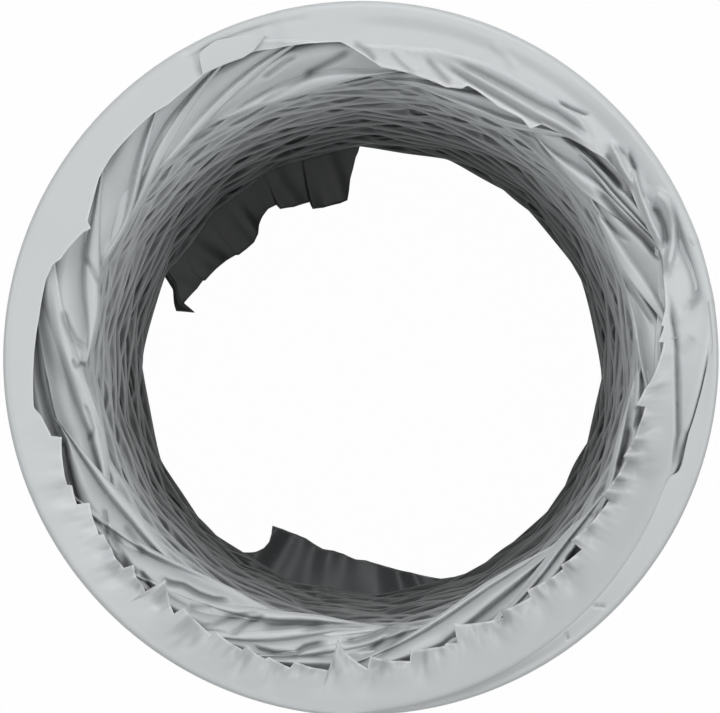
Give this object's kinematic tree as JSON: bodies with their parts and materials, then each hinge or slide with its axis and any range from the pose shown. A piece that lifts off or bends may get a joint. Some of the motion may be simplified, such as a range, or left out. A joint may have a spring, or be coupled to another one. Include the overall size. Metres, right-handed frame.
{
  "type": "flexible air duct",
  "caption": "Round flexible air duct of thin grey film over a spring wire helix, pressed together so the film folds into the bore, with a torn hem turned in at one end.",
  "frame": {"origin": "centre of the duct's bore at the flat lower edge of its far sleeve, on which it stands", "axes": "+Z along the duct from the far end to the near end, +X towards the side where one wire turn runs on into the next and where the duct bends about, +Y completes a right-handed frame"},
  "size_m": [0.1304, 0.1305, 0.1127],
  "materials": {
    "spring_wire": "bright drawn spring wire",
    "seam_film": "matt grey PVC film, drawn tight round the wire",
    "pleat_film": "matt grey PVC film, creased and folded",
    "end_film": "matt grey PVC film with torn edges"
  },
  "bodies": {
    "hoop_01": {"wire_turn_01": "spring_wire", "seam_01": "seam_film", "far_sleeve": "end_film", "far_flap_left": "end_film", "far_flap_right": "end_film"},
    "fold_01": {"pleat_01": "pleat_film"},
    "hoop_02": {"wire_turn_02": "spring_wire", "seam_02": "seam_film"},
    "fold_02": {"pleat_02": "pleat_film"},
    "hoop_03": {"wire_turn_03": "spring_wire", "seam_03": "seam_film"},
    "fold_03": {"pleat_03": "pleat_film"},
    "hoop_04": {"wire_turn_04": "spring_wire", "seam_04": "seam_film"},
    "fold_04": {"pleat_04": "pleat_film"},
    "hoop_05": {"wire_turn_05": "spring_wire", "seam_05": "seam_film"},
    "fold_05": {"pleat_05": "pleat_film"},
    "hoop_06": {"wire_turn_06": "spring_wire", "seam_06": "seam_film"},
    "fold_06": {"pleat_06": "pleat_film"},
    "hoop_07": {"wire_turn_07": "spring_wire", "seam_07": "seam_film"},
    "fold_07": {"pleat_07": "pleat_film"},
    "hoop_08": {"wire_turn_08": "spring_wire", "seam_08": "seam_film"},
    "fold_08": {"pleat_08": "pleat_film"},
    "hoop_09": {"wire_turn_09": "spring_wire", "seam_09": "seam_film"},
    "fold_09": {"pleat_09": "pleat_film"},
    "hoop_10": {"wire_turn_10": "spring_wire", "seam_10": "seam_film"},
    "fold_10": {"pleat_10": "pleat_film"},
    "hoop_11": {"wire_turn_11": "spring_wire", "seam_11": "seam_film"},
    "fold_11": {"pleat_11": "pleat_film"},
    "hoop_12": {"wire_turn_12": "spring_wire", "seam_12": "seam_film"},
    "fold_12": {"pleat_12": "pleat_film"},
    "hoop_13": {"wire_turn_13": "spring_wire", "seam_13": "seam_film"},
    "fold_13": {"pleat_13": "pleat_film"},
    "hoop_14": {"wire_turn_14": "spring_wire", "seam_14": "seam_film"},
    "fold_14": {"pleat_14": "pleat_film"},
    "hoop_15": {"wire_turn_15": "spring_wire", "seam_15": "seam_film"},
    "fold_15": {"pleat_15": "pleat_film"},
    "hoop_16": {"wire_turn_16": "spring_wire", "seam_16": "seam_film"},
    "fold_16": {"pleat_16": "pleat_film"},
    "hoop_17": {"wire_turn_17": "spring_wire", "seam_17": "seam_film"},
    "fold_17": {"pleat_17": "pleat_film"},
    "hoop_18": {"wire_turn_18": "spring_wire", "seam_18": "seam_film", "near_hem": "end_film", "near_tail": "end_film", "near_tab": "end_film"}
  },
  "joints": [
    {"name": "stretch_01", "type": "slide", "parent": "hoop_01", "child": "fold_01", "axis": [0, 0, 1], "range_m": [0, 0.025], "deforming": ["pleat_01"]},
    {"name": "bend_01", "type": "hinge", "parent": "fold_01", "child": "hoop_02", "pos_m": [0.06405, 0, 0.01482], "axis": [0, 1, 0], "range_deg": [0, 5.3]},
    {"name": "stretch_02", "type": "slide", "parent": "hoop_02", "child": "fold_02", "axis": [0, 0, 1], "range_m": [0, 0.025], "deforming": ["pleat_02"]},
    {"name": "bend_02", "type": "hinge", "parent": "fold_02", "child": "hoop_03", "pos_m": [0.06405, 0, 0.02082], "axis": [0, 1, 0], "range_deg": [0, 5.3]},
    {"name": "stretch_03", "type": "slide", "parent": "hoop_03", "child": "fold_03", "axis": [0, 0, 1], "range_m": [0, 0.025], "deforming": ["pleat_03"]},
    {"name": "bend_03", "type": "hinge", "parent": "fold_03", "child": "hoop_04", "pos_m": [0.06405, 0, 0.02683], "axis": [0, 1, 0], "range_deg": [0, 5.3]},
    {"name": "stretch_04", "type": "slide", "parent": "hoop_04", "child": "fold_04", "axis": [0, 0, 1], "range_m": [0, 0.025], "deforming": ["pleat_04"]},
    {"name": "bend_04", "type": "hinge", "parent": "fold_04", "child": "hoop_05", "pos_m": [0.06405, 0, 0.03283], "axis": [0, 1, 0], "range_deg": [0, 5.3]},
    {"name": "stretch_05", "type": "slide", "parent": "hoop_05", "child": "fold_05", "axis": [0, 0, 1], "range_m": [0, 0.025], "deforming": ["pleat_05"]},
    {"name": "bend_05", "type": "hinge", "parent": "fold_05", "child": "hoop_06", "pos_m": [0.06405, 0, 0.03882], "axis": [0, 1, 0], "range_deg": [0, 5.3]},
    {"name": "stretch_06", "type": "slide", "parent": "hoop_06", "child": "fold_06", "axis": [0, 0, 1], "range_m": [0, 0.025], "deforming": ["pleat_06"]},
    {"name": "bend_06", "type": "hinge", "parent": "fold_06", "child": "hoop_07", "pos_m": [0.06405, 0, 0.04482], "axis": [0, 1, 0], "range_deg": [0, 5.3]},
    {"name": "stretch_07", "type": "slide", "parent": "hoop_07", "child": "fold_07", "axis": [0, 0, 1], "range_m": [0, 0.025], "deforming": ["pleat_07"]},
    {"name": "bend_07", "type": "hinge", "parent": "fold_07", "child": "hoop_08", "pos_m": [0.06405, 0, 0.05083], "axis": [0, 1, 0], "range_deg": [0, 5.3]},
    {"name": "stretch_08", "type": "slide", "parent": "hoop_08", "child": "fold_08", "axis": [0, 0, 1], "range_m": [0, 0.025], "deforming": ["pleat_08"]},
    {"name": "bend_08", "type": "hinge", "parent": "fold_08", "child": "hoop_09", "pos_m": [0.06405, 0, 0.05683], "axis": [0, 1, 0], "range_deg": [0, 5.3]},
    {"name": "stretch_09", "type": "slide", "parent": "hoop_09", "child": "fold_09", "axis": [0, 0, 1], "range_m": [0, 0.025], "deforming": ["pleat_09"]},
    {"name": "bend_09", "type": "hinge", "parent": "fold_09", "child": "hoop_10", "pos_m": [0.06405, 0, 0.06283], "axis": [0, 1, 0], "range_deg": [0, 5.3]},
    {"name": "stretch_10", "type": "slide", "parent": "hoop_10", "child": "fold_10", "axis": [0, 0, 1], "range_m": [0, 0.025], "deforming": ["pleat_10"]},
    {"name": "bend_10", "type": "hinge", "parent": "fold_10", "child": "hoop_11", "pos_m": [0.06405, 0, 0.06882], "axis": [0, 1, 0], "range_deg": [0, 5.3]},
    {"name": "stretch_11", "type": "slide", "parent": "hoop_11", "child": "fold_11", "axis": [0, 0, 1], "range_m": [0, 0.025], "deforming": ["pleat_11"]},
    {"name": "bend_11", "type": "hinge", "parent": "fold_11", "child": "hoop_12", "pos_m": [0.06405, 0, 0.07483], "axis": [0, 1, 0], "range_deg": [0, 5.3]},
    {"name": "stretch_12", "type": "slide", "parent": "hoop_12", "child": "fold_12", "axis": [0, 0, 1], "range_m": [0, 0.025], "deforming": ["pleat_12"]},
    {"name": "bend_12", "type": "hinge", "parent": "fold_12", "child": "hoop_13", "pos_m": [0.06405, 0, 0.08082], "axis": [0, 1, 0], "range_deg": [0, 5.3]},
    {"name": "stretch_13", "type": "slide", "parent": "hoop_13", "child": "fold_13", "axis": [0, 0, 1], "range_m": [0, 0.025], "deforming": ["pleat_13"]},
    {"name": "bend_13", "type": "hinge", "parent": "fold_13", "child": "hoop_14", "pos_m": [0.06405, 0, 0.08682], "axis": [0, 1, 0], "range_deg": [0, 5.3]},
    {"name": "stretch_14", "type": "slide", "parent": "hoop_14", "child": "fold_14", "axis": [0, 0, 1], "range_m": [0, 0.025], "deforming": ["pleat_14"]},
    {"name": "bend_14", "type": "hinge", "parent": "fold_14", "child": "hoop_15", "pos_m": [0.06405, 0, 0.09283], "axis": [0, 1, 0], "range_deg": [0, 5.3]},
    {"name": "stretch_15", "type": "slide", "parent": "hoop_15", "child": "fold_15", "axis": [0, 0, 1], "range_m": [0, 0.025], "deforming": ["pleat_15"]},
    {"name": "bend_15", "type": "hinge", "parent": "fold_15", "child": "hoop_16", "pos_m": [0.06405, 0, 0.09882], "axis": [0, 1, 0], "range_deg": [0, 5.3]},
    {"name": "stretch_16", "type": "slide", "parent": "hoop_16", "child": "fold_16", "axis": [0, 0, 1], "range_m": [0, 0.025], "deforming": ["pleat_16"]},
    {"name": "bend_16", "type": "hinge", "parent": "fold_16", "child": "hoop_17", "pos_m": [0.06405, 0, 0.10483], "axis": [0, 1, 0], "range_deg": [0, 5.3]},
    {"name": "stretch_17", "type": "slide", "parent": "hoop_17", "child": "fold_17", "axis": [0, 0, 1], "range_m": [0, 0.025], "deforming": ["pleat_17"]},
    {"name": "bend_17", "type": "hinge", "parent": "fold_17", "child": "hoop_18", "pos_m": [0.06405, 0, 0.11083], "axis": [0, 1, 0], "range_deg": [0, 5.3]}
  ],
  "couplings": [
    {"joint": "stretch_02", "follows": "stretch_01", "ratio": 1},
    {"joint": "bend_02", "follows": "bend_01", "ratio": 1},
    {"joint": "stretch_03", "follows": "stretch_01", "ratio": 1},
    {"joint": "bend_03", "follows": "bend_01", "ratio": 1},
    {"joint": "stretch_04", "follows": "stretch_01", "ratio": 1},
    {"joint": "bend_04", "follows": "bend_01", "ratio": 1},
    {"joint": "stretch_05", "follows": "stretch_01", "ratio": 1},
    {"joint": "bend_05", "follows": "bend_01", "ratio": 1},
    {"joint": "stretch_06", "follows": "stretch_01", "ratio": 1},
    {"joint": "bend_06", "follows": "bend_01", "ratio": 1},
    {"joint": "stretch_07", "follows": "stretch_01", "ratio": 1},
    {"joint": "bend_07", "follows": "bend_01", "ratio": 1},
    {"joint": "stretch_08", "follows": "stretch_01", "ratio": 1},
    {"joint": "bend_08", "follows": "bend_01", "ratio": 1},
    {"joint": "stretch_09", "follows": "stretch_01", "ratio": 1},
    {"joint": "bend_09", "follows": "bend_01", "ratio": 1},
    {"joint": "stretch_10", "follows": "stretch_01", "ratio": 1},
    {"joint": "bend_10", "follows": "bend_01", "ratio": 1},
    {"joint": "stretch_11", "follows": "stretch_01", "ratio": 1},
    {"joint": "bend_11", "follows": "bend_01", "ratio": 1},
    {"joint": "stretch_12", "follows": "stretch_01", "ratio": 1},
    {"joint": "bend_12", "follows": "bend_01", "ratio": 1},
    {"joint": "stretch_13", "follows": "stretch_01", "ratio": 1},
    {"joint": "bend_13", "follows": "bend_01", "ratio": 1},
    {"joint": "stretch_14", "follows": "stretch_01", "ratio": 1},
    {"joint": "bend_14", "follows": "bend_01", "ratio": 1},
    {"joint": "stretch_15", "follows": "stretch_01", "ratio": 1},
    {"joint": "bend_15", "follows": "bend_01", "ratio": 1},
    {"joint": "stretch_16", "follows": "stretch_01", "ratio": 1},
    {"joint": "bend_16", "follows": "bend_01", "ratio": 1},
    {"joint": "stretch_17", "follows": "stretch_01", "ratio": 1},
    {"joint": "bend_17", "follows": "bend_01", "ratio": 1}
  ]
}
